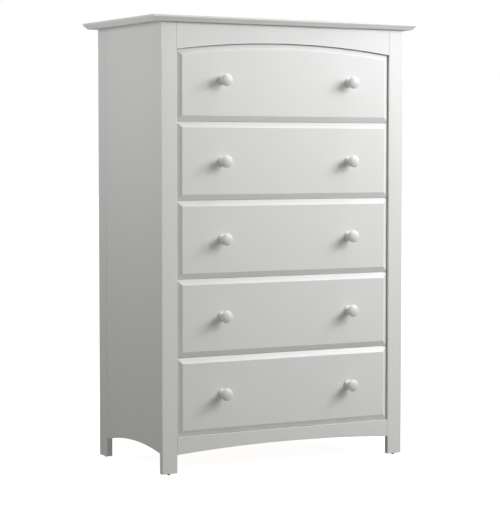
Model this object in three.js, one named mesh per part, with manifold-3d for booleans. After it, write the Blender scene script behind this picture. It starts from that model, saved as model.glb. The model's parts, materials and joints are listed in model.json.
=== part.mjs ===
// A tall chest of drawers: a painted case on four board legs, and five drawers that slide on wooden strips.
// Millimetres. +Z is up, the front faces -Y, and +X is on the right of someone who looks at the front.
// The origin is on the floor, under the middle of the whole chest, knobs included.
import * as THREE from "three";
import { mergeVertices } from "three/addons/utils/BufferGeometryUtils.js";
import Module from "manifold-3d";

const wasm = await Module();
wasm.setup();

// ---- Driving dimensions ----

// Boards that only touch are drawn this far apart.
const jointGap = 0.3;

// Outside of the chest. Its width and depth are those of the top.
const totalHeight = 1260;
const topWidth = 856;
const topDepth = 457;
const topThickness = 16.5;
const topUprightEdge = 5;
const topBevelWidth = 10;
const overhangSide = 34.2;
const overhangFront = 21.6;
const overhangRear = 29.6;

// Case boards
const legWidth = 46.5;
const legThickness = 16;
const rearLegDepth = 48;
const rearLegThickness = 18;
const sideReveal = 1;
const railThickness = 16;
const backThickness = 3;
const backHousing = 6;
const backInset = 6;
const topRailArchHeight = 1192.6;
const topRailArchRise = 23.3;
const bottomRailTop = 104.8;
const bottomRailArchHeight = 67.9;
const bottomRailArchRise = 12.9;
const sideArchHeight = 75;
const sideArchRise = 15.5;
const sideArchRearFlat = 19.4;
const rearRailBottom = 60;
const archSegments = 20;

// Foot glides
const glideHeight = 4;
const glideRadius = 4.5;
const glideCrownRadius = 3;
const glideSegments = 16;

// Drawer fronts
const drawerCount = 5;
const frontSideGap = 1.3;
const frontGapBetween = 0.6;
const archedGap = 1.0;
const frontHeight = 216.4;
const frontThickness = 16;
const frontBevelWidth = 15.8;
const frontBevelDepth = 8.5;

// Drawer boxes
const boxWidth = 688;
const boxDepth = 355;
const boxHeight = 160;
const boxLift = 20;
const boxSideThickness = 14;
const boxBackThickness = 12;
const boxBackDrop = 8;
const bottomThickness = 3;
const bottomLift = 10;
const bottomHousing = 6;

// Runner strips, and the groove in each drawer side that rides on them
const runnerHeight = 14;
const runnerBite = 6.5;
const grooveDepth = 7;
const grooveHeight = 15.5;
const runnerRearSpace = 17;

// Knobs
// Each drawer's knobs have their own height above the lower edge of the front, from the first drawer down.
const knobHeights = [114, 106.5, 108.2, 110.7, 111.4];
const knobSpacing = 414;
const knobReach = 37;
const knobHeadRadius = 17.5;
const knobHeadFront = 8;
const knobHeadBack = 7;
const knobBaseRadius = 13.5;
const knobBaseRim = 1.5;
const knobNeckRadius = 7;
const knobSegments = 20;

// ---- Derived dimensions ----

const overallDepth = topDepth - overhangFront + knobReach;
const topRear = overallDepth / 2;
const topFront = topRear - topDepth;
const frontPlane = topFront + overhangFront;
const rearPlane = topRear - overhangRear;
const topUnderside = totalHeight - topThickness;
const legOutside = topWidth / 2 - overhangSide;
const legInside = legOutside - legWidth;
const legBehind = frontPlane + legThickness;
const legInsideRear = legOutside - rearLegThickness;
const sideOutside = legOutside - sideReveal;
const sideRear = rearPlane - rearLegDepth - jointGap;
const railBehind = frontPlane + railThickness;
const backFront = rearPlane + jointGap;
const backRear = backFront + backThickness;
const backOutside = legOutside - backInset;
const frontPitch = frontHeight + frontGapBetween;
const frontWidth = 2 * (legInside - frontSideGap);
const boxOutside = boxWidth / 2;
const boxInside = boxOutside - boxSideThickness;
const boxFront = frontPlane + frontThickness + jointGap;
const boxRear = boxFront + boxDepth;
const knobHeadCentre = knobReach - knobHeadFront;

// ---- Finishes ----

const whitePaint = { color: 0xf2f2ef, roughness: 0.42, metalness: 0 };
const bareWood = { color: 0xd9bd92, roughness: 0.7, metalness: 0 };
const hardboard = { color: 0x9c7651, roughness: 0.8, metalness: 0 };
const darkPlastic = { color: 0x1e1e1e, roughness: 0.5, metalness: 0 };

// ---- Helpers ----

function piece(name, geometry, finish) {
  const mesh = new THREE.Mesh(geometry, new THREE.MeshStandardMaterial(finish));
  mesh.name = name;
  return mesh;
}

// A plain block between two opposite corners.
function block(low, high) {
  const size = high.map((value, i) => value - low[i]);
  const centre = high.map((value, i) => (value + low[i]) / 2);
  return new THREE.BoxGeometry(...size).translate(...centre);
}

// The mirror image of a block on the other side of the chest.
function sidedBlock(side, low, high) {
  const [insideX, outsideX] = [low[0], high[0]];
  const ends = side > 0 ? [insideX, outsideX] : [-outsideX, -insideX];
  return block([ends[0], low[1], low[2]], [ends[1], high[1], high[2]]);
}

function toSolid(geometry) {
  const bare = geometry.clone();
  bare.deleteAttribute("normal");
  bare.deleteAttribute("uv");
  const merged = mergeVertices(bare);
  const vertProperties = merged.attributes.position.array;
  const triVerts = new Uint32Array(merged.index.array);
  return new wasm.Manifold(new wasm.Mesh({ numProp: 3, vertProperties, triVerts }));
}

function toGeometry(solid) {
  const mesh = solid.getMesh();
  const geometry = new THREE.BufferGeometry();
  geometry.setAttribute("position", new THREE.BufferAttribute(mesh.vertProperties, 3));
  geometry.setIndex(new THREE.BufferAttribute(mesh.triVerts, 1));
  geometry.computeVertexNormals();
  return geometry;
}

function cut(geometry, ...cutters) {
  let solid = toSolid(geometry);
  for (const cutter of cutters) {
    solid = solid.subtract(toSolid(cutter));
  }
  return toGeometry(solid);
}

// The circle of an arch that is rise higher at its middle than at halfSpan to each side of it.
function archCircle(middle, height, halfSpan, rise) {
  const radius = (halfSpan ** 2 + rise ** 2) / (2 * rise);
  return { x: middle, y: height - radius, radius };
}

// Adds the crown of a circle to an outline, as wide as twice halfSpan, in the direction it is drawn.
function addArch(outline, circle, halfSpan, toTheRight) {
  const halfAngle = Math.asin(halfSpan / circle.radius);
  const left = Math.PI / 2 + halfAngle;
  const right = Math.PI / 2 - halfAngle;
  const [start, end] = toTheRight ? [left, right] : [right, left];
  outline.absarc(circle.x, circle.y, circle.radius, start, end, toTheRight);
}

// A board whose lower edge is an arch, with a flat at the arch's right end.
// Its outline is drawn across the page and up it.
function archedBoard(left, right, top, circle, thickness, flat = 0) {
  const outline = new THREE.Shape();
  const halfSpan = (right - left - flat) / 2;
  addArch(outline, circle, halfSpan, true);
  if (flat > 0) {
    outline.lineTo(right, circle.y + Math.sqrt(circle.radius ** 2 - halfSpan ** 2));
  }
  outline.lineTo(right, top);
  outline.lineTo(left, top);
  outline.closePath();
  return new THREE.ExtrudeGeometry(outline, {
    depth: thickness,
    bevelEnabled: false,
    curveSegments: archSegments,
  });
}

// A slab whose top face is bevelled all round, lying on z = 0, as high as thickness.
function bevelledSlab(outline, thickness, bevelWidth, bevelDepth) {
  const spare = 1;
  const slab = new THREE.ExtrudeGeometry(outline, {
    depth: thickness - bevelDepth,
    bevelEnabled: true,
    bevelSegments: 1,
    bevelSize: bevelWidth,
    bevelOffset: -bevelWidth,
    bevelThickness: bevelDepth,
    curveSegments: archSegments,
  });
  const wide = topWidth;
  const lowerBevel = block([-wide, -wide, -bevelDepth - spare], [wide, wide, 0]);
  return cut(slab, lowerBevel);
}

function rectangle(width, height) {
  const outline = new THREE.Shape();
  outline.moveTo(-width / 2, 0);
  outline.lineTo(width / 2, 0);
  outline.lineTo(width / 2, height);
  outline.lineTo(-width / 2, height);
  outline.closePath();
  return outline;
}

// Stands a slab up, so that its bevelled face looks forward and its other face is at y = behind.
function facingForward(geometry, behind) {
  return geometry.rotateX(Math.PI / 2).translate(0, behind, 0);
}

// ---- The case ----

// The top: upright along its upper edge, then cut back under it. A groove holds the back panel.
function topPanel() {
  const slab = bevelledSlab(
    rectangle(topWidth, topDepth),
    topThickness,
    topBevelWidth,
    topThickness - topUprightEdge,
  );
  slab.rotateX(Math.PI).translate(0, topRear, totalHeight);
  const housing = block(
    [-backOutside - jointGap, backFront - jointGap, topUnderside - 1],
    [backOutside + jointGap, backRear + jointGap, topUnderside + backHousing],
  );
  return piece("top_panel", cut(slab, housing), whitePaint);
}

// A side panel lies between its two legs, almost flush with their outer faces.
function sidePanel(name, side) {
  const front = legBehind + jointGap;
  const archEnd = sideRear - sideArchRearFlat;
  const arch = archCircle((front + archEnd) / 2, sideArchHeight, (archEnd - front) / 2, sideArchRise);
  const top = topUnderside - jointGap;
  const thickness = sideOutside - legInsideRear;
  const panel = archedBoard(front, sideRear, top, arch, thickness, sideArchRearFlat);
  // The outline's page lies along Y and Z.
  panel.rotateX(Math.PI / 2).rotateZ(Math.PI / 2);
  panel.translate(side > 0 ? legInsideRear : -sideOutside, 0, 0);
  return piece(name, panel, whitePaint);
}

function frontLeg(name, side) {
  const low = [legInside, frontPlane, glideHeight];
  const high = [legOutside, legBehind, topUnderside - jointGap];
  return piece(name, sidedBlock(side, low, high), whitePaint);
}

function rearLeg(name, side) {
  const low = [legInsideRear, rearPlane - rearLegDepth, glideHeight];
  const high = [legOutside, rearPlane, topUnderside - jointGap];
  return piece(name, sidedBlock(side, low, high), whitePaint);
}

const topRailArch = archCircle(0, topRailArchHeight, legInside, topRailArchRise);

function frontTopRail() {
  const halfWidth = legInside - jointGap;
  const rail = archedBoard(-halfWidth, halfWidth, topUnderside - jointGap, topRailArch, railThickness);
  return piece("front_top_rail", facingForward(rail, railBehind), whitePaint);
}

function frontBottomRail() {
  const halfWidth = legInside - jointGap;
  const arch = archCircle(0, bottomRailArchHeight, legInside, bottomRailArchRise);
  const rail = archedBoard(-halfWidth, halfWidth, bottomRailTop, arch, railThickness);
  return piece("front_bottom_rail", facingForward(rail, railBehind), whitePaint);
}

function rearBottomRail() {
  const halfWidth = legInsideRear - jointGap;
  const low = [-halfWidth, rearPlane - railThickness, rearRailBottom];
  const high = [halfWidth, rearPlane, bottomRailTop];
  return piece("rear_bottom_rail", block(low, high), whitePaint);
}

// A thin sheet behind the rear legs and the rear rail, with its upper edge in the groove of the top.
function backPanel() {
  const low = [-backOutside, backFront, rearRailBottom];
  const high = [backOutside, backRear, topUnderside + backHousing - jointGap];
  return piece("back_panel", block(low, high), hardboard);
}

function footGlide(name, x, y) {
  const profile = [
    new THREE.Vector2(0, 0),
    new THREE.Vector2(glideCrownRadius, 0),
    new THREE.Vector2(glideRadius, glideHeight / 2),
    new THREE.Vector2(glideRadius, glideHeight - jointGap),
    new THREE.Vector2(0, glideHeight - jointGap),
  ];
  const glide = new THREE.LatheGeometry(profile, glideSegments);
  glide.rotateX(Math.PI / 2).translate(x, y, 0);
  return piece(name, glide, darkPlastic);
}

function drawerBase(number) {
  return bottomRailTop + frontGapBetween + (drawerCount - number) * frontPitch;
}

// A strip on the case side, whose inner edge fills most of a drawer side's groove.
function runner(name, number, side) {
  const grooveTop = drawerBase(number) + boxLift + (boxHeight + grooveHeight) / 2;
  const low = [boxOutside - runnerBite, legBehind + jointGap, grooveTop - jointGap - runnerHeight];
  const high = [legInsideRear - jointGap, rearPlane - runnerRearSpace, grooveTop - jointGap];
  return piece(name, sidedBlock(side, low, high), bareWood);
}

// ---- The drawers ----

// A drawer front, with its lower edge at z = 0. The first one follows the arch of the rail above it.
function drawerFront(name, number) {
  let outline = rectangle(frontWidth, frontHeight);
  if (number === 1) {
    const circle = { ...topRailArch, y: topRailArch.y - drawerBase(1) };
    circle.radius -= archedGap;
    outline = new THREE.Shape();
    outline.moveTo(-frontWidth / 2, 0);
    outline.lineTo(frontWidth / 2, 0);
    addArch(outline, circle, frontWidth / 2, false);
    outline.closePath();
  }
  const board = bevelledSlab(outline, frontThickness, frontBevelWidth, frontBevelDepth);
  const behind = frontPlane + frontThickness;
  const housing = block(
    [-boxInside - bottomHousing, behind - bottomHousing, boxLift + bottomLift - jointGap],
    [boxInside + bottomHousing, behind + 1, boxLift + bottomLift + bottomThickness + jointGap],
  );
  return piece(name, cut(facingForward(board, behind), housing), whitePaint);
}

// A drawer side, grooved outside for its runner and inside for the bottom.
function drawerSide(name, side) {
  const low = [boxInside, boxFront, boxLift];
  const high = [boxOutside, boxRear, boxLift + boxHeight];
  const grooveLow = boxLift + (boxHeight - grooveHeight) / 2;
  const groove = sidedBlock(
    side,
    [boxOutside - grooveDepth, boxFront - 1, grooveLow],
    [boxOutside + 1, boxRear + 1, grooveLow + grooveHeight],
  );
  const housing = sidedBlock(
    side,
    [boxInside - 1, boxFront - 1, boxLift + bottomLift - jointGap],
    [boxInside + bottomHousing, boxRear + 1, boxLift + bottomLift + bottomThickness + jointGap],
  );
  return piece(name, cut(sidedBlock(side, low, high), groove, housing), bareWood);
}

function drawerBack(name) {
  const halfWidth = boxInside - jointGap;
  const underside = boxLift + bottomLift + bottomThickness + jointGap;
  const low = [-halfWidth, boxRear - boxBackThickness, underside];
  const high = [halfWidth, boxRear, boxLift + boxHeight - boxBackDrop];
  return piece(name, block(low, high), bareWood);
}

function drawerBottom(name) {
  const halfWidth = boxInside + bottomHousing - jointGap;
  const front = frontPlane + frontThickness - bottomHousing + jointGap;
  const low = [-halfWidth, front, boxLift + bottomLift];
  const high = [halfWidth, boxRear, boxLift + bottomLift + bottomThickness];
  return piece(name, block(low, high), hardboard);
}

// Half an ellipse of the knob's head, from the angle start to the angle end.
function headCurve(depth, start, end, steps) {
  const curve = new THREE.EllipseCurve(0, knobHeadCentre, knobHeadRadius, depth, start, end);
  return curve.getPoints(steps);
}

// A turned knob: a base that flares out, a narrow neck and a round head.
function knob(name, x, z) {
  const neckAngle = -Math.acos(knobNeckRadius / knobHeadRadius);
  const neckTop = knobHeadCentre + knobHeadBack * Math.sin(neckAngle);
  const flare = new THREE.QuadraticBezierCurve(
    new THREE.Vector2(knobBaseRadius, knobBaseRim),
    new THREE.Vector2(knobNeckRadius, knobBaseRim + knobBaseRadius - knobNeckRadius),
    new THREE.Vector2(knobNeckRadius, neckTop),
  );
  const profile = [
    new THREE.Vector2(0, jointGap),
    new THREE.Vector2(knobBaseRadius, jointGap),
    ...flare.getPoints(4),
    ...headCurve(knobHeadBack, neckAngle, 0, 3).slice(1),
    ...headCurve(knobHeadFront, 0, Math.PI / 2, 5).slice(1),
  ];
  profile[profile.length - 1].x = 0;
  const turned = new THREE.LatheGeometry(profile, knobSegments);
  turned.rotateX(Math.PI).translate(x, frontPlane, z);
  return piece(name, turned, whitePaint);
}

function drawer(number) {
  const name = `drawer_${number}`;
  const knobHeight = knobHeights[number - 1];
  const group = new THREE.Group();
  group.add(
    drawerFront(`${name}_front`, number),
    drawerSide(`${name}_left_side`, -1),
    drawerSide(`${name}_right_side`, 1),
    drawerBack(`${name}_back`),
    drawerBottom(`${name}_bottom`),
    knob(`${name}_knob_left`, -knobSpacing / 2, knobHeight),
    knob(`${name}_knob_right`, knobSpacing / 2, knobHeight),
  );
  group.position.z = drawerBase(number);
  return group;
}

// ---- Assembly ----

const carcass = new THREE.Group();
carcass.add(topPanel(), frontTopRail(), frontBottomRail(), rearBottomRail(), backPanel());
for (const [word, side] of [["left", -1], ["right", 1]]) {
  const frontGlideX = side * (legInside + legOutside) / 2;
  const frontGlideY = (frontPlane + legBehind) / 2;
  const rearGlideX = side * (legOutside - rearLegThickness / 2);
  const rearGlideY = rearPlane - rearLegDepth / 2;
  carcass.add(
    sidePanel(`${word}_side_panel`, side),
    frontLeg(`front_${word}_leg`, side),
    rearLeg(`rear_${word}_leg`, side),
    footGlide(`front_${word}_glide`, frontGlideX, frontGlideY),
    footGlide(`rear_${word}_glide`, rearGlideX, rearGlideY),
  );
  for (let number = 1; number <= drawerCount; number += 1) {
    carcass.add(runner(`runner_${number}_${word}`, number, side));
  }
}

const chest = new THREE.Group();
chest.add(carcass);
for (let number = 1; number <= drawerCount; number += 1) {
  chest.add(drawer(number));
}

export default chest;
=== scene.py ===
# %% [markdown]
# # A tall white chest of drawers
#
# The chest is a case of boards on four short legs, with five drawers that slide on wooden strips.
# Its working design already exists as a model of sharp-edged boards. This script keeps the design's
# places and sizes, and gives every board the eased edges, paint, grain and hardware of the real thing.
# Everything is in metres: +Z is up, the drawers face -Y, and +X is on the right of someone in front.

# %% Load the working design
import json
import math
import bmesh
import bpy
from mathutils import Matrix, Vector
from mathutils.geometry import interpolate_bezier

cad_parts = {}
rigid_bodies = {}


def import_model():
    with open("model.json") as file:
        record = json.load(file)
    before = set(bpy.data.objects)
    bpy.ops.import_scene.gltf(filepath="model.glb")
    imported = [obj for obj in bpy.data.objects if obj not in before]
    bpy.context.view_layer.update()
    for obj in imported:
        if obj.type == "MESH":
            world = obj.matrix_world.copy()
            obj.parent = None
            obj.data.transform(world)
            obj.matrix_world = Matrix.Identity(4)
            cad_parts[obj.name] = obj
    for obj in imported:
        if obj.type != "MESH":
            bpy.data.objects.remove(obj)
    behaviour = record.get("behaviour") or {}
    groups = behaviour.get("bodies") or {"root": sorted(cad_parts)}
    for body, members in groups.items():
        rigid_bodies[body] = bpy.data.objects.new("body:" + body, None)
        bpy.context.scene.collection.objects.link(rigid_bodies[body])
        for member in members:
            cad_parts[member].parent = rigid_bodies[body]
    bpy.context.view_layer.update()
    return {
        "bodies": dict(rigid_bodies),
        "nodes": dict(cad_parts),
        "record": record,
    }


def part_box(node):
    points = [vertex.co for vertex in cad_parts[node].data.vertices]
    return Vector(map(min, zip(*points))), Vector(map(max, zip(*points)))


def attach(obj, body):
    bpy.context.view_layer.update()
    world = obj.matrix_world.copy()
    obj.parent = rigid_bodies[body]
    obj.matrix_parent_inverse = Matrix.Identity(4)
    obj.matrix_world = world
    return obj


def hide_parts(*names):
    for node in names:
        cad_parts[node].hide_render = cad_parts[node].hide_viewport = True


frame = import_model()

# %% [markdown]
# ## Look the boards up
#
# The design's record says which moving body each board belongs to and which finish it has.
# Reading both from the record means that a board can't end up on the wrong drawer.

# %% Bodies and finishes of the boards
record = frame["record"]
body_of_node = {node: body for body, nodes in record["behaviour"]["bodies"].items() for node in nodes}
slot_of_node = {row["node"]: row["material_slot"] for row in record["subparts"]}
drawer_names = sorted(body for body in frame["bodies"] if body.startswith("drawer_"))


def size_of(node):
    """The three sides of a board's box."""
    low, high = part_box(node)
    return high - low


def middle_of(node):
    """The middle of a board's box."""
    low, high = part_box(node)
    return (low + high) / 2


print("drawers", drawer_names)

# %% [markdown]
# ## Small helpers for materials
#
# A procedural material is a chain of small steps: take coordinates, stretch them, make noise,
# turn the noise into a colour, a roughness or a height. Each helper below adds one such step,
# so that a finish further down reads as a short recipe.

# %% Material helpers
def start_material(name):
    """A new material, its node tree, its Principled shader and the object coordinates."""
    material = bpy.data.materials.new(name)
    material.use_nodes = True
    tree = material.node_tree
    shader = tree.nodes["Principled BSDF"]
    coordinates = tree.nodes.new("ShaderNodeTexCoord").outputs["Object"]
    return material, tree, shader, coordinates


def stretched(tree, coordinates, scale, turn=(0, 0, 0)):
    """Coordinates that run slower or faster along each axis, which stretches a pattern."""
    mapping = tree.nodes.new("ShaderNodeMapping")
    mapping.inputs["Scale"].default_value = scale
    mapping.inputs["Rotation"].default_value = turn
    tree.links.new(coordinates, mapping.inputs["Vector"])
    return mapping.outputs["Vector"]


def noise(tree, coordinates, scale, detail=2.0, roughness=0.5):
    """Soft random clouds with values round 0.5. The scale is in clouds per metre."""
    texture = tree.nodes.new("ShaderNodeTexNoise")
    texture.inputs["Scale"].default_value = scale
    texture.inputs["Detail"].default_value = detail
    texture.inputs["Roughness"].default_value = roughness
    tree.links.new(coordinates, texture.inputs["Vector"])
    return texture.outputs["Fac"]


def spread(tree, value, low, high, start=0.3, end=0.7):
    """Moves the values from start..end to low..high, and holds them there."""
    ranger = tree.nodes.new("ShaderNodeMapRange")
    ranger.inputs["From Min"].default_value = start
    ranger.inputs["From Max"].default_value = end
    ranger.inputs["To Min"].default_value = low
    ranger.inputs["To Max"].default_value = high
    tree.links.new(value, ranger.inputs["Value"])
    return ranger.outputs["Result"]


def combine(tree, operation, first, second):
    """One arithmetic step between two values. The second may be a plain number."""
    math_node = tree.nodes.new("ShaderNodeMath")
    math_node.operation = operation
    tree.links.new(first, math_node.inputs[0])
    if isinstance(second, (int, float)):
        math_node.inputs[1].default_value = second
    else:
        tree.links.new(second, math_node.inputs[1])
    return math_node.outputs["Value"]


def blend_colours(tree, factor, first, second):
    """A mix of two colours. Each is a red, green, blue triple or the output of another step."""
    mix = tree.nodes.new("ShaderNodeMix")
    mix.data_type = "RGBA"
    tree.links.new(factor, mix.inputs["Factor"])
    sockets = [socket for socket in mix.inputs if socket.type == "RGBA"]
    for socket, colour in zip(sockets, (first, second)):
        if isinstance(colour, tuple):
            socket.default_value = (*colour, 1.0)
        else:
            tree.links.new(colour, socket)
    return next(output for output in mix.outputs if output.type == "RGBA")


def raise_surface(tree, shader, height, strength, distance):
    """Lets a pattern of heights tilt the surface, by no more than distance in metres."""
    bump = tree.nodes.new("ShaderNodeBump")
    bump.inputs["Strength"].default_value = strength
    bump.inputs["Distance"].default_value = distance
    tree.links.new(height, bump.inputs["Height"])
    tree.links.new(bump.outputs["Normal"], shader.inputs["Normal"])


# %% [markdown]
# ## White satin paint
#
# The case, the drawer fronts and the knobs are sprayed with white satin paint over smooth board.
# Three things keep it from looking like plastic: a very faint run of the wood under the paint,
# the orange peel that a spray gun leaves, and a painted highlight: a lighter colour along the eased
# edges, where their rounding would catch the light.
# Fronts and rails run across and legs run upright, so the grain step takes the board's own direction.

# %% The paint recipe
PAINT_WHITE = (0.80, 0.80, 0.793)
PAINT_CLOUD = (0.785, 0.786, 0.777)
# The lighter colour of the eased edges is a painted highlight, standing in for the light their rounding
# catches.
PAINT_EDGE_HIGHLIGHT = (0.86, 0.86, 0.855)
GRAIN_LENGTH = 0.035
AXIS_INDEX = {"x": 0, "y": 1, "z": 2}


def slow_along(axis, slowness):
    """A scale of 1 on every axis but the grain's, where the pattern is drawn out."""
    scale = [1.0, 1.0, 1.0]
    scale[AXIS_INDEX[axis]] = slowness
    return scale


def white_paint(axis):
    material, tree, shader, coordinates = start_material(f"white_satin_paint_{axis}")
    grain = noise(tree, stretched(tree, coordinates, slow_along(axis, GRAIN_LENGTH)), 240, 4, 0.6)
    peel = noise(tree, coordinates, 620, 2)
    clouds = noise(tree, coordinates, 4, 3)
    paint = blend_colours(tree, spread(tree, clouds, 0, 1), PAINT_WHITE, PAINT_CLOUD)
    # Painted highlight: the faces marked "eased" get a lighter colour, broken up by noise.
    eased = tree.nodes.new("ShaderNodeAttribute")
    eased.attribute_name = "eased"
    uneven = spread(tree, noise(tree, coordinates, 55, 4), 0.3, 1.0)
    edge_highlight = combine(tree, "MULTIPLY", eased.outputs["Fac"], uneven)
    colour = blend_colours(tree, edge_highlight, paint, PAINT_EDGE_HIGHLIGHT)
    tree.links.new(colour, shader.inputs["Base Color"])
    tree.links.new(spread(tree, clouds, 0.36, 0.46), shader.inputs["Roughness"])
    surface = combine(tree, "ADD", combine(tree, "MULTIPLY", grain, 0.5), peel)
    raise_surface(tree, shader, surface, 0.3, 0.00012)
    return material


# %% [markdown]
# ## Bare softwood
#
# Drawer sides, drawer backs and runner strips are unpainted, sanded softwood. The rings of a log
# run along a board as wavy lines, tight and dark where a summer ended. A ring pattern gives them:
# its middle line lies beside the board, as the heart of the log did, and noise bends the rings.
# One log would be too regular, so the heart is set again at the height of each drawer.

# %% The softwood recipe
WOOD_PALE = (0.66, 0.47, 0.27)
WOOD_LATE = (0.47, 0.28, 0.13)
WOOD_WARM = (0.60, 0.39, 0.20)
RING_WIDTH = 0.0065
RING_BEND = 0.022
HEART_SLOPE = 0.35
# A wave texture of scale 1 draws this many rings in a metre.
WAVES_PER_METRE = 3.2


def bare_wood(axis, log_pitch):
    material, tree, shader, coordinates = start_material(f"bare_softwood_{axis}")
    parts = tree.nodes.new("ShaderNodeSeparateXYZ")
    tree.links.new(coordinates, parts.inputs["Vector"])
    around = tree.nodes.new("ShaderNodeCombineXYZ")
    bend = noise(tree, stretched(tree, coordinates, slow_along(axis, 0.12)), 9, 3)
    bent = spread(tree, bend, -RING_BEND, RING_BEND)
    beside = {"x": "Y", "y": "X"}[axis]
    level = combine(tree, "PINGPONG", parts.outputs["Z"], log_pitch / 2)
    away = combine(tree, "MULTIPLY", parts.outputs[beside], HEART_SLOPE)
    tree.links.new(away, around.inputs["X"])
    tree.links.new(combine(tree, "ADD", level, bent), around.inputs["Y"])
    rings = tree.nodes.new("ShaderNodeTexWave")
    rings.wave_type = "RINGS"
    rings.rings_direction = "Z"
    rings.wave_profile = "SAW"
    rings.inputs["Scale"].default_value = 1 / (RING_WIDTH * WAVES_PER_METRE)
    rings.inputs["Distortion"].default_value = 0.8
    rings.inputs["Detail"].default_value = 2
    tree.links.new(around.outputs["Vector"], rings.inputs["Vector"])
    pores = noise(tree, stretched(tree, coordinates, slow_along(axis, 0.02)), 900, 3)
    patches = noise(tree, stretched(tree, coordinates, slow_along(axis, 0.2)), 7, 2)
    ground = blend_colours(tree, spread(tree, patches, 0, 0.7), WOOD_PALE, WOOD_WARM)
    late = spread(tree, rings.outputs["Fac"], 0, 0.75, 0.45, 1.0)
    ringed = blend_colours(tree, late, ground, WOOD_LATE)
    grained = blend_colours(tree, spread(tree, pores, 0, 0.35), ringed, WOOD_LATE)
    tree.links.new(grained, shader.inputs["Base Color"])
    tree.links.new(spread(tree, pores, 0.52, 0.7), shader.inputs["Roughness"])
    height = combine(tree, "SUBTRACT", combine(tree, "MULTIPLY", pores, 0.6), rings.outputs["Fac"])
    raise_surface(tree, shader, height, 0.35, 0.0002)
    return material


# %% [markdown]
# ## Hardboard, plastic and zinc
#
# The back and the drawer bottoms are thin hardboard, pressed from brown wood fibre: short fibres
# lie in every direction, under a slight polish from the press. The foot glides are moulded black
# plastic with a fine matt texture. Screws and cam locks are zinc-plated steel, which is never
# evenly bright: the plating has soft patches.

# %% The other recipes
FIBRE_DARK = (0.21, 0.12, 0.06)
FIBRE_PALE = (0.42, 0.265, 0.145)
PLASTIC_BLACK = (0.018, 0.018, 0.019)
PLASTIC_SCUFFED = (0.05, 0.05, 0.05)
ZINC_BRIGHT = (0.66, 0.67, 0.69)
ZINC_DULL = (0.45, 0.46, 0.48)


def hardboard():
    material, tree, shader, coordinates = start_material("pressed_hardboard")
    lying = noise(tree, stretched(tree, coordinates, (0.15, 1, 1)), 420, 3)
    standing = noise(tree, stretched(tree, coordinates, (1, 0.15, 0.15)), 380, 3)
    fibres = combine(tree, "MULTIPLY", combine(tree, "ADD", lying, standing), 0.5)
    patches = noise(tree, coordinates, 28, 2)
    mottled = combine(tree, "ADD", combine(tree, "MULTIPLY", patches, 0.25), fibres)
    colour = blend_colours(tree, spread(tree, mottled, 0, 1, 0.42, 0.82), FIBRE_DARK, FIBRE_PALE)
    tree.links.new(colour, shader.inputs["Base Color"])
    tree.links.new(spread(tree, patches, 0.45, 0.65), shader.inputs["Roughness"])
    raise_surface(tree, shader, fibres, 0.4, 0.00015)
    return material


def black_plastic():
    material, tree, shader, coordinates = start_material("moulded_black_plastic")
    scuffs = noise(tree, coordinates, 300, 4)
    colour = blend_colours(tree, spread(tree, scuffs, 0, 0.6, 0.5, 0.8), PLASTIC_BLACK, PLASTIC_SCUFFED)
    tree.links.new(colour, shader.inputs["Base Color"])
    tree.links.new(spread(tree, scuffs, 0.35, 0.6), shader.inputs["Roughness"])
    raise_surface(tree, shader, noise(tree, coordinates, 2500, 2), 0.3, 0.00005)
    return material


def zinc_plate():
    material, tree, shader, coordinates = start_material("zinc_plated_steel")
    shader.inputs["Metallic"].default_value = 1.0
    patches = noise(tree, coordinates, 260, 3)
    colour = blend_colours(tree, spread(tree, patches, 0, 1), ZINC_BRIGHT, ZINC_DULL)
    tree.links.new(colour, shader.inputs["Base Color"])
    tree.links.new(spread(tree, patches, 0.25, 0.45), shader.inputs["Roughness"])
    raise_surface(tree, shader, noise(tree, coordinates, 1800, 2), 0.15, 0.00003)
    return material


# %% [markdown]
# ## Mix the finishes
#
# One material serves every board with the same finish and the same direction of grain.
# The drawers repeat at a fixed pitch, which the softwood recipe needs.

# %% Make the materials
drawer_pitch = middle_of("drawer_2_back").z - middle_of("drawer_3_back").z
finishes = {("white_paint", axis): white_paint(axis) for axis in "xyz"}
finishes.update({("bare_wood", axis): bare_wood(axis, drawer_pitch) for axis in "xy"})
pressed = hardboard()
finishes.update({("hardboard", axis): pressed for axis in "xyz"})
plastic = black_plastic()
zinc = zinc_plate()
print("finishes", sorted(material.name for material in bpy.data.materials))

# %% [markdown]
# ## Turn a mesh into a piece of the chest
#
# Every piece ends the same way: its mesh becomes an object at the origin, it gets its material,
# it rides on a body, and it may stand in for a board of the design. The weighted normals keep
# the broad faces flat to the eye, so that only the rounded edges catch the light.

# %% Finish a piece
SHARP_CORNER = math.radians(50)


def shade_softly(shape):
    """Smooth shading everywhere but across real corners."""
    for face in shape.faces:
        face.smooth = True
    for edge in shape.edges:
        edge.smooth = not (edge.is_manifold and edge.calc_face_angle(0) > SHARP_CORNER)


def finish_piece(name, shape, body, material, stands_for=()):
    shade_softly(shape)
    mesh = bpy.data.meshes.new(name)
    shape.to_mesh(mesh)
    shape.free()
    mesh.materials.append(material)
    piece = bpy.data.objects.new(name, mesh)
    bpy.context.scene.collection.objects.link(piece)
    normals = piece.modifiers.new("broad_faces_stay_flat", "WEIGHTED_NORMAL")
    normals.keep_sharp = True
    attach(piece, body)
    if stands_for:
        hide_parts(*stands_for)
    return piece


# %% [markdown]
# ## Ease the edges of the boards
#
# A saw leaves an edge that would cut a hand and chip its paint, so a joiner takes it off with
# sandpaper. That narrow rounding is what draws a thin bright or dark line along every real board.
# The design's mesh is loose triangles. They are merged, the flat ones are dissolved into whole faces,
# and every outward edge is then bevelled. The new narrow faces are marked "eased", and the white
# paint recipe gives that mark a lighter colour, a painted highlight along the edges.

# %% Board helpers
OUTWARD_EDGE = math.radians(12)


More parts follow.
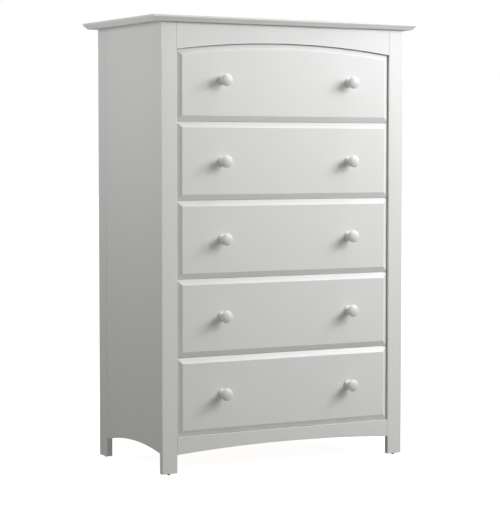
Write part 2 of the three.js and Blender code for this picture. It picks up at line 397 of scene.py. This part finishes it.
def merged_copy(node):
    """A design board with its triangles joined into flat faces."""
    board = bmesh.new()
    board.from_mesh(frame["nodes"][node].data)
    bmesh.ops.remove_doubles(board, verts=board.verts, dist=0.00001)
    bmesh.ops.dissolve_limit(board, angle_limit=math.radians(0.2), verts=board.verts, edges=board.edges)
    return board


def ease_edges(board, width, segments=3):
    """Rounds the outward edges and marks the new faces."""
    mark = board.faces.layers.float.new("eased")
    outward = [
        edge for edge in board.edges
        if edge.is_manifold and edge.is_convex and edge.calc_face_angle() > OUTWARD_EDGE
    ]
    rounded = bmesh.ops.bevel(
        board, geom=outward, offset=width, segments=segments, profile=0.5,
        affect="EDGES", material=-1, clamp_overlap=True,
    )
    for face in rounded["faces"]:
        face[mark] = 1.0


def grain_axis(node):
    """A board is cut with its grain along its longest side."""
    sides = size_of(node)
    return max("xyz", key=lambda axis: sides[AXIS_INDEX[axis]])


def eased_board(node, width, segments=3):
    board = merged_copy(node)
    ease_edges(board, width, segments)
    slot = slot_of_node[node]
    material = finishes[slot, grain_axis(node)]
    return finish_piece(f"{node}_eased", board, body_of_node[node], material, [node])


# %% The case boards
PAINTED_EASE = 0.0009
case_boards = [
    "left_side_panel", "right_side_panel", "front_left_leg", "front_right_leg", "rear_left_leg",
    "rear_right_leg", "front_top_rail", "front_bottom_rail", "rear_bottom_rail", "top_panel",
]
for node in case_boards:
    piece = eased_board(node, PAINTED_EASE)
    print(piece.name, len(piece.data.polygons), "faces")
print(eased_board("back_panel", 0.0004, 2).name)

# %% The drawer boards
FRONT_EASE = 0.0007
BOX_EASE = 0.0008
SHEET_EASE = 0.0003
for name in drawer_names:
    eased_board(f"{name}_front", FRONT_EASE)
    for part in ("left_side", "right_side", "back"):
        eased_board(f"{name}_{part}", BOX_EASE, 2)
    eased_board(f"{name}_bottom", SHEET_EASE, 1)
    print(name, "front", [round(side, 4) for side in size_of(f"{name}_front")])

# %% The runner strips
runner_strips = sorted(node for node in frame["nodes"] if node.startswith("runner_"))
for node in runner_strips:
    eased_board(node, BOX_EASE, 2)
print("runner strips", len(runner_strips))

# %% [markdown]
# ## Turn the knobs
#
# The knobs are turned on a lathe: a base that flares out on the drawer front, a narrow neck and a
# flattened round head, like a small mushroom. On the computer a lathe is the spin operator.
# Half of the knob's outline is drawn once, in radius and height, and swept round the knob's axis.
# The outline is made of curves: a Bezier for the flare and quarters of an ellipse for the head.

# %% Lathe helpers
def elliptic_arc(middle, radius, height, start, end, steps):
    """Points of an ellipse on the axis, between two angles in degrees."""
    points = []
    for step in range(steps + 1):
        angle = math.radians(start + (end - start) * step / steps)
        points.append((radius * math.cos(angle), middle + height * math.sin(angle)))
    return points


def lathe(shape, outline, foot, up, steps=48):
    """Spins an outline of radius and height points round the line that leaves foot along up."""
    sideways = up.orthogonal().normalized()
    corners = [shape.verts.new(foot + sideways * radius + up * height) for radius, height in outline]
    edges = [shape.edges.new(pair) for pair in zip(corners, corners[1:])]
    bmesh.ops.spin(
        shape, geom=corners + edges, cent=foot, axis=up, angle=2 * math.pi, steps=steps,
        use_merge=True, use_duplicate=False,
    )
    bmesh.ops.remove_doubles(shape, verts=shape.verts, dist=0.000001)
    bmesh.ops.recalc_face_normals(shape, faces=shape.faces)


# %% The ten knobs
TOWARDS_YOU = Vector((0, -1, 0))
HEAD_FRONT = 0.008
HEAD_BACK = 0.007
BASE_RADIUS = 0.0135
BASE_RIM = 0.0015
NECK_RADIUS = 0.007
FOOT_ROUNDING = 0.0005


def knob_outline(reach, head_radius):
    """From the middle of the foot, round the base, neck and head, to the middle of the face."""
    head_middle = reach - HEAD_FRONT
    neck_angle = -math.degrees(math.acos(NECK_RADIUS / head_radius))
    neck_top = head_middle + HEAD_BACK * math.sin(math.radians(neck_angle))
    flare_start = Vector((BASE_RADIUS, BASE_RIM))
    flare_turn = Vector((NECK_RADIUS, BASE_RIM + BASE_RADIUS - NECK_RADIUS))
    flare_end = Vector((NECK_RADIUS, neck_top))
    flare = interpolate_bezier(flare_start, flare_turn, flare_turn, flare_end, 12)
    outline = [(0, 0), (BASE_RADIUS - FOOT_ROUNDING, 0), (BASE_RADIUS, FOOT_ROUNDING)]
    outline += [(point.x, point.y) for point in flare]
    outline += elliptic_arc(head_middle, head_radius, HEAD_BACK, neck_angle, 0, 10)[1:]
    outline += elliptic_arc(head_middle, head_radius, HEAD_FRONT, 0, 90, 14)[1:-1]
    return outline + [(0, reach)]


for name in drawer_names:
    for hand in ("left", "right"):
        node = f"{name}_knob_{hand}"
        low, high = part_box(node)
        foot = Vector(((low.x + high.x) / 2, high.y, (low.z + high.z) / 2))
        turned = bmesh.new()
        lathe(turned, knob_outline(high.y - low.y, (high.x - low.x) / 2), foot, TOWARDS_YOU)
        paint = finishes["white_paint", "y"]
        piece = finish_piece(f"{node}_turned", turned, name, paint, [node])
print(piece.name, len(piece.data.polygons), "faces")

# %% [markdown]
# ## Foot glides
#
# Under each leg a small black plastic glide is nailed on, so that the chest can be pushed over a
# floor. It is turned in the same way: a flat dome with a rounded rim.

# %% The four glides
UPWARDS = Vector((0, 0, 1))
DOME_SHARE = 0.6
FLAT_SHARE = 0.55
CROWN_ROUNDING = 0.0004


def glide_outline(radius, height):
    """A flat foot, a dome that starts beside it, and a rounded upper rim."""
    dome_height = height * DOME_SHARE
    dome = elliptic_arc(dome_height, radius, dome_height, -75, 0, 6)
    crown = [(radius, height - CROWN_ROUNDING), (radius - CROWN_ROUNDING, height), (0, height)]
    return [(0, 0), (radius * FLAT_SHARE, 0)] + dome[2:] + crown


for node in sorted(node for node in frame["nodes"] if node.endswith("_glide")):
    low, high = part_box(node)
    turned = bmesh.new()
    foot = Vector(((low.x + high.x) / 2, (low.y + high.y) / 2, low.z))
    lathe(turned, glide_outline((high.x - low.x) / 2, high.z - low.z), foot, UPWARDS, 32)
    piece = finish_piece(f"{node}_cap", turned, "carcass", plastic, [node])
print(piece.name, len(piece.data.polygons), "faces")

# %% [markdown]
# ## Screw heads, cam locks and pins
#
# A chest like this is put together with screws and cam locks: a steel bolt in one board is pulled
# tight by a turning disc in the other. Both show a cross-shaped recess for the screwdriver.
# The recess starts as a small grid of faces: the five cells of a cross are inset and sunk, which
# slopes their walls, and the grid's border is pulled into a circle and bridged to a turned rim.

# %% Fastener helpers
GRID_LINES = 5
CAP_SHARE = 0.92
WALL_SHARE = 0.16


def cross_recess(shape, height, radius, depth):
    """A round cap at a height, with a cross sunk into it. Returns the cap's border edges."""
    made = bmesh.ops.create_grid(
        shape, x_segments=GRID_LINES, y_segments=GRID_LINES, size=radius,
        matrix=Matrix.Translation((0, 0, height)),
    )
    cell = 2 * radius / GRID_LINES
    cells = dict.fromkeys(face for vert in made["verts"] for face in vert.link_faces)
    cross = []
    for face in cells:
        across, along = sorted(abs(value) for value in face.calc_center_median().xy)
        if across < cell / 2 and along < cell * 1.5:
            cross.append(face)
    bmesh.ops.inset_region(shape, faces=cross, thickness=cell * WALL_SHARE, depth=-depth)
    border = [edge for vert in made["verts"] for edge in vert.link_edges if edge.is_boundary]
    for vert in dict.fromkeys(vert for edge in border for vert in edge.verts):
        vert.co.xy = vert.co.xy.normalized() * radius
    return list(dict.fromkeys(border))


def stored(shape, name):
    """Keeps a small shape as a mesh, to be copied many times."""
    mesh = bpy.data.meshes.new(name)
    shape.to_mesh(mesh)
    shape.free()
    return mesh


def recessed_head(outline, depth):
    """A turned head whose outline ends at a rim, closed by a cap with a cross recess."""
    head = bmesh.new()
    lathe(head, outline, Vector((0, 0, 0)), UPWARDS, 4 * GRID_LINES)
    rim = [edge for edge in head.edges if edge.is_boundary]
    cap_radius, cap_height = outline[-1]
    border = cross_recess(head, cap_height, cap_radius * CAP_SHARE, depth)
    bmesh.ops.bridge_loops(head, edges=rim + border)
    bmesh.ops.recalc_face_normals(head, faces=head.faces)
    return stored(head, "recessed_head")


def turned_disc(outline, steps=20):
    """A turned shape without a recess, for a washer or a pin."""
    disc = bmesh.new()
    lathe(disc, outline, Vector((0, 0, 0)), UPWARDS, steps)
    return stored(disc, "turned_disc")


def add_copy(target, mesh, place, outward):
    """Adds a copy of a mesh, with its foot at place and its +Z along outward."""
    before = len(target.verts)
    target.from_mesh(mesh)
    target.verts.ensure_lookup_table()
    turn = UPWARDS.rotation_difference(outward).to_matrix().to_4x4()
    bmesh.ops.transform(target, matrix=Matrix.Translation(place) @ turn, verts=target.verts[before:])


# %% Patterns of the fasteners
MM = 0.001


def outline_mm(*points):
    """Radius and height points, given in millimetres."""
    return [(radius * MM, height * MM) for radius, height in points]


pan_head = recessed_head(
    outline_mm((0, 0), (4.2, 0), (4.2, 0.7), (4.0, 1.3), (3.5, 1.8), (2.8, 2.1), (2.4, 2.2)), 1.3 * MM)
flush_head = recessed_head(outline_mm((0, 0), (3.5, 0), (3.4, 0.2), (2.2, 0.25)), 0.9 * MM)
cam_disc = recessed_head(outline_mm((0, 0), (7.5, 0), (7.3, 0.4), (4.5, 0.45)), 2.2 * MM)
washer = turned_disc(outline_mm((2.2, 0), (6, 0), (6, 0.9), (2.2, 1.0), (2.2, 0)))
pin_head = turned_disc(outline_mm((0, 0), (1.8, 0), (1.8, 0.3), (1.5, 0.5), (0, 0.6)), 12)
print("pan head", len(pan_head.polygons), "faces")

# %% [markdown]
# ## Inside the drawers
#
# A knob is held by a screw and washer from inside the front. Two cam locks on each side pull the
# front tight, and two screws on each side hold the back. The screws and locks of a drawer are one
# piece here, as they never come off in use and nobody needs to pick them one by one.

# %% Fasteners of each drawer
INWARDS = {"left": Vector((1, 0, 0)), "right": Vector((-1, 0, 0))}
BACKWARDS = Vector((0, 1, 0))
WASHER_THICKNESS = 1.0 * MM
SIDE_FIXINGS = (0.035, 0.125)
CAM_SETBACK = 0.030
DRAWER_TRAVEL = 0.260
CATCH_GAP = 0.0004
BLOCK_LEVEL = 0.122
BLOCK_DEPTH = 0.015
BLOCK_REACH = 13.7 * MM
JOINT_GAP = 0.3 * MM
STRIP_SIDES = (0.044, 8 * MM)
STRIP_SCREWS = (-0.012, 0.012)


def side_faces(node, hand):
    """The x of a side board's inner and outer face."""
    low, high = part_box(node)
    return (high.x, low.x) if hand == "left" else (low.x, high.x)


leg_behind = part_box("front_left_leg")[1].y
block_front = leg_behind + DRAWER_TRAVEL + CATCH_GAP
for name in drawer_names:
    metal = bmesh.new()
    front_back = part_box(f"{name}_front")[1].y
    back_middle = middle_of(f"{name}_back").y
    for hand, inwards in INWARDS.items():
        node = f"{name}_{hand}_side"
        inner, outer = side_faces(node, hand)
        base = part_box(node)[0].z
        knob = middle_of(f"{name}_knob_{hand}")
        add_copy(metal, washer, (knob.x, front_back, knob.z), BACKWARDS)
        add_copy(metal, pan_head, (knob.x, front_back + WASHER_THICKNESS, knob.z), BACKWARDS)
        for height in SIDE_FIXINGS:
            add_copy(metal, cam_disc, (inner, front_back + CAM_SETBACK, base + height), inwards)
            add_copy(metal, flush_head, (outer, back_middle, base + height), -inwards)
        block_face = outer - inwards.x * BLOCK_REACH
        block_middle = block_front + BLOCK_DEPTH / 2
        add_copy(metal, flush_head, (block_face, block_middle, base + BLOCK_LEVEL), -inwards)
    strip_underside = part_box(f"{name}_bottom")[0].z - JOINT_GAP - STRIP_SIDES[1]
    for offset in STRIP_SCREWS:
        add_copy(metal, flush_head, (offset, back_middle, strip_underside), -UPWARDS)
    piece = finish_piece(f"{name}_fasteners", metal, name, zinc)
print(piece.name, len(piece.data.polygons), "faces")

# %% [markdown]
# ## Stops and strips of the drawers
#
# A turning block on the outside of each drawer side catches the front leg when the drawer is pulled
# far enough, and a strip along the middle keeps the wide thin bottom from sagging. Both start as
# planks. The block's four corners are rounded before its edges are eased, because it has to turn.
# The eased strips of a rounded corner lie so close together that they meet: points that fall on
# each other there are merged, which leaves one closed skin.

# %% Stop blocks and the middle strip
BLOCK_HEIGHT = 0.034
CORNER_RADIUS = 0.005
STRIP_SHORT_OF_BACK = 0.002


def plank(low, high):
    """A block between two corners, as a mesh that can be shaped further."""
    low, high = Vector(low), Vector(high)
    shape = bmesh.new()
    bmesh.ops.create_cube(shape, size=1.0)
    bmesh.ops.scale(shape, vec=high - low, verts=shape.verts)
    bmesh.ops.translate(shape, vec=(low + high) / 2, verts=shape.verts)
    return shape


def round_ends(shape, along, radius):
    """Rounds the corners that run along one axis."""
    corners = [
        edge for edge in shape.edges
        if abs((edge.verts[0].co - edge.verts[1].co).normalized()[AXIS_INDEX[along]]) > 0.99
    ]
    bmesh.ops.bevel(
        shape, geom=corners, offset=radius, segments=6, profile=0.5, affect="EDGES", material=-1)


for name in drawer_names:
    for hand, inwards in INWARDS.items():
        outer = side_faces(f"{name}_{hand}_side", hand)[1]
        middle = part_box(f"{name}_{hand}_side")[0].z + BLOCK_LEVEL
        ends = sorted((outer - inwards.x * JOINT_GAP, outer - inwards.x * BLOCK_REACH))
        block = plank(
            (ends[0], block_front, middle - BLOCK_HEIGHT / 2),
            (ends[1], block_front + BLOCK_DEPTH, middle + BLOCK_HEIGHT / 2),
        )
        round_ends(block, "x", CORNER_RADIUS)
        ease_edges(block, BOX_EASE, 2)
        bmesh.ops.remove_doubles(block, verts=block.verts, dist=0.000001)
        finish_piece(f"{name}_{hand}_stop", block, name, finishes["bare_wood", "x"])
    low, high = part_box(f"{name}_bottom")
    front_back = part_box(f"{name}_front")[1].y
    half_width, strip_top = STRIP_SIDES[0] / 2, low.z - JOINT_GAP
    strip = plank(
        (-half_width, front_back + JOINT_GAP, strip_top - STRIP_SIDES[1]),
        (half_width, high.y - STRIP_SHORT_OF_BACK, strip_top),
    )
    ease_edges(strip, BOX_EASE, 2)
    piece = finish_piece(f"{name}_middle_strip", strip, name, finishes["bare_wood", "y"])
print(piece.name, [round(side, 3) for side in piece.dimensions])

# %% [markdown]
# ## Inside and behind the case
#
# The upper ends of the sides are tied by a rail behind the drawers, like the one at the bottom.
# Cam locks join the rails and the sides to the legs, and three screws hold each runner strip:
# their heads are nearly flush, because the drawer's groove slides over them.

# %% The rear top rail
low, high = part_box("rear_bottom_rail")
top_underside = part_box("front_left_leg")[1].z
rail = plank((low.x, low.y, top_underside - (high.z - low.z)), (high.x, high.y, top_underside))
ease_edges(rail, PAINTED_EASE)
piece = finish_piece("rear_top_rail", rail, "carcass", finishes["white_paint", "x"])
print(piece.name, [round(side, 3) for side in piece.dimensions])

# %% Fasteners of the case
CAM_HEIGHTS = (0.15, 0.42, 0.80, 1.20)
CAM_INSET = 0.032
RAIL_CAM_DROP = 0.018
SCREW_SHARES = (0.1, 0.5, 0.9)
case_metal = bmesh.new()
for hand, inwards in INWARDS.items():
    inner = side_faces(f"{hand}_side_panel", hand)[0]
    low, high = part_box(f"{hand}_side_panel")
    for height in CAM_HEIGHTS:
        add_copy(case_metal, cam_disc, (inner, high.y - CAM_INSET, height), inwards)
        add_copy(case_metal, cam_disc, (inner, low.y + CAM_INSET, height), inwards)
    for rail_name in ("front_top_rail", "front_bottom_rail"):
        rail_low, rail_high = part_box(rail_name)
        end = rail_low.x if hand == "left" else rail_high.x
        place = (end + inwards.x * CAM_INSET, rail_high.y, rail_high.z - RAIL_CAM_DROP)
        add_copy(case_metal, cam_disc, place, BACKWARDS)
for node in runner_strips:
    hand = "left" if node.endswith("_left") else "right"
    low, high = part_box(node)
    face = high.x if hand == "left" else low.x
    for share in SCREW_SHARES:
        along = low.y + share * (high.y - low.y)
        add_copy(case_metal, flush_head, (face, along, (low.z + high.z) / 2), INWARDS[hand])
piece = finish_piece("case_fasteners", case_metal, "carcass", zinc)
print(piece.name, len(piece.data.polygons), "faces")

# %% [markdown]
# ## Pins of the back
#
# The back sheet is nailed on with small flat-headed pins: a close row into each rear leg, and a
# wider row into each rail. The rows keep clear of the corners, where the sheet would split.

# %% Pins of the back
PIN_ROWS = 12
PIN_COLUMNS = 8
PIN_TO_SIDE = 0.008
LOWEST_PIN = 0.020
HIGHEST_PIN = 0.040
LOWER_ROW = 0.018
UPPER_ROW = 0.028
pins = bmesh.new()
low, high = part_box("back_panel")
for x in (low.x + PIN_TO_SIDE, high.x - PIN_TO_SIDE):
    for row in range(PIN_ROWS):
        climb = (high.z - low.z - LOWEST_PIN - HIGHEST_PIN) * row / (PIN_ROWS - 1)
        add_copy(pins, pin_head, (x, high.y, low.z + LOWEST_PIN + climb), BACKWARDS)
for column in range(1, PIN_COLUMNS):
    x = low.x + (high.x - low.x) * column / PIN_COLUMNS
    add_copy(pins, pin_head, (x, high.y, low.z + LOWER_ROW), BACKWARDS)
    add_copy(pins, pin_head, (x, high.y, high.z - UPPER_ROW), BACKWARDS)
piece = finish_piece("back_pins", pins, "carcass", zinc)
print(piece.name, len(piece.data.polygons), "faces")

# %% [markdown]
# ## Studio
#
# A plain pale floor and an even white background, as in a catalogue. The floor is seen only by the
# camera, so it can be nearly white without throwing its own light up at the chest. The air of the
# studio gives the soft light instead: one part from the ceiling and one from below, both slightly
# warm, with nothing from the level of the horizon, which would light hollows from in front.

# %% Floor and background
FLOOR_SIZE = 60
WHITE_SHEET = 0.93


def pale_floor():
    """One wide face, white to the camera, that throws no light on the chest."""
    shape = bmesh.new()
    bmesh.ops.create_grid(shape, x_segments=1, y_segments=1, size=FLOOR_SIZE / 2)
    mesh = bpy.data.meshes.new("studio_floor")
    shape.to_mesh(mesh)
    shape.free()
    floor = bpy.data.objects.new("studio_floor", mesh)
    bpy.context.scene.collection.objects.link(floor)
    material, _, shader, _ = start_material("pale_studio_floor")
    shader.inputs["Base Color"].default_value = (0.5, 0.5, 0.5, 1)
    shader.inputs["Roughness"].default_value = 1.0
    shader.inputs["Specular IOR Level"].default_value = 0.0
    shader.inputs["Emission Color"].default_value = (1, 1, 1, 1)
    shader.inputs["Emission Strength"].default_value = WHITE_SHEET
    mesh.materials.append(material)
    floor.visible_diffuse = False
    floor.visible_glossy = False


pale_floor()
print("floor", FLOOR_SIZE, "metres wide")


def soft_world(ceiling, ground, colour):
    """White for the camera, and on the chest a soft light from above and from below."""
    world = bpy.data.worlds.new("studio_air")
    world.use_nodes = True
    tree = world.node_tree
    tree.nodes.clear()
    direction = tree.nodes.new("ShaderNodeTexCoord").outputs["Generated"]
    parts = tree.nodes.new("ShaderNodeSeparateXYZ")
    tree.links.new(direction, parts.inputs["Vector"])
    from_above = spread(tree, parts.outputs["Z"], 0, ceiling, 0.0, 0.8)
    from_below = spread(tree, parts.outputs["Z"], 0, ground, 0.15, -0.5)
    seen = tree.nodes.new("ShaderNodeBackground")
    seen.inputs["Color"].default_value = (1, 1, 1, 1)
    light = tree.nodes.new("ShaderNodeBackground")
    light.inputs["Color"].default_value = (*colour, 1)
    tree.links.new(combine(tree, "ADD", from_above, from_below), light.inputs["Strength"])
    path = tree.nodes.new("ShaderNodeLightPath")
    mix = tree.nodes.new("ShaderNodeMixShader")
    out = tree.nodes.new("ShaderNodeOutputWorld")
    tree.links.new(path.outputs["Is Camera Ray"], mix.inputs["Fac"])
    tree.links.new(light.outputs["Background"], mix.inputs[1])
    tree.links.new(seen.outputs["Background"], mix.inputs[2])
    tree.links.new(mix.outputs["Shader"], out.inputs["Surface"])
    bpy.context.scene.world = world


soft_world(0.46, 0.38, (1.0, 0.985, 0.925))

# %% [markdown]
# ## Lamps
#
# Six round softboxes shape the chest. The key lamp at the right and in front draws the soft shadows
# of the knobs. The high and overhead lamps brighten the upper bevels, the front lamp fills the broad
# faces, and a weak cool lamp at the left keeps the side panel a little darker than the front.

# %% The six softboxes
def softbox(name, place, aim, size, power, colour):
    """A round studio lamp at place that looks at aim."""
    lamp = bpy.data.lights.new(name, "AREA")
    lamp.shape = "DISK"
    lamp.size = size
    lamp.energy = power
    lamp.color = colour
    holder = bpy.data.objects.new(name, lamp)
    holder.location = place
    direction = Vector(aim) - Vector(place)
    holder.rotation_euler = direction.to_track_quat("-Z", "Y").to_euler()
    bpy.context.scene.collection.objects.link(holder)


LAMPS = [
    ("key_lamp", (1.5, -2.1, 2.0), (0, -0.2, 0.7), 1.2, 29.3, (0.96, 0.975, 1.0)),
    ("right_lamp", (1.6, -1.2, 1.5), (0, -0.2, 0.7), 0.6, 8.9, (0.98, 0.99, 1.0)),
    ("high_right_lamp", (2.4, -1.3, 2.2), (0, -0.2, 0.7), 1.0, 16.0, (1.0, 1.0, 1.0)),
    ("front_lamp", (1.5, -4.0, 2.0), (0, 0, 0.7), 2.0, 16.4, (1.0, 1.0, 1.0)),
    ("overhead_lamp", (0.8, -0.4, 2.8), (0, 0, 0.7), 1.2, 18.0, (1.0, 1.0, 1.0)),
    ("left_lamp", (-1.4, 0.0, 1.35), (-0.4, 0, 0.8), 0.8, 5.25, (0.965, 0.975, 1.0)),
]
for row in LAMPS:
    softbox(*row)
print("lamps", len(LAMPS))

# %% [markdown]
# ## Camera
#
# The camera stands a little left of the chest, nearly at the height of its middle, and looks
# slightly down with a long lens, which keeps the upright boards almost parallel.

# %% Place the camera
CAMERA_PLACE = (-2.70154, -4.76128, 0.88701)
CAMERA_TURN = math.radians(29.526)
CAMERA_DIP = math.radians(3.394)
camera_data = bpy.data.cameras.new("studio_camera")
camera_data.lens = 127.864
camera_data.sensor_width = 36
camera = bpy.data.objects.new("studio_camera", camera_data)
camera.location = CAMERA_PLACE
camera.rotation_euler = (math.radians(90) - CAMERA_DIP, 0, -CAMERA_TURN)
bpy.context.scene.collection.objects.link(camera)
bpy.context.scene.camera = camera
bpy.context.scene.view_settings.view_transform = "Standard"
print("camera distance", round(Vector(CAMERA_PLACE).length, 2), "lens", camera_data.lens)
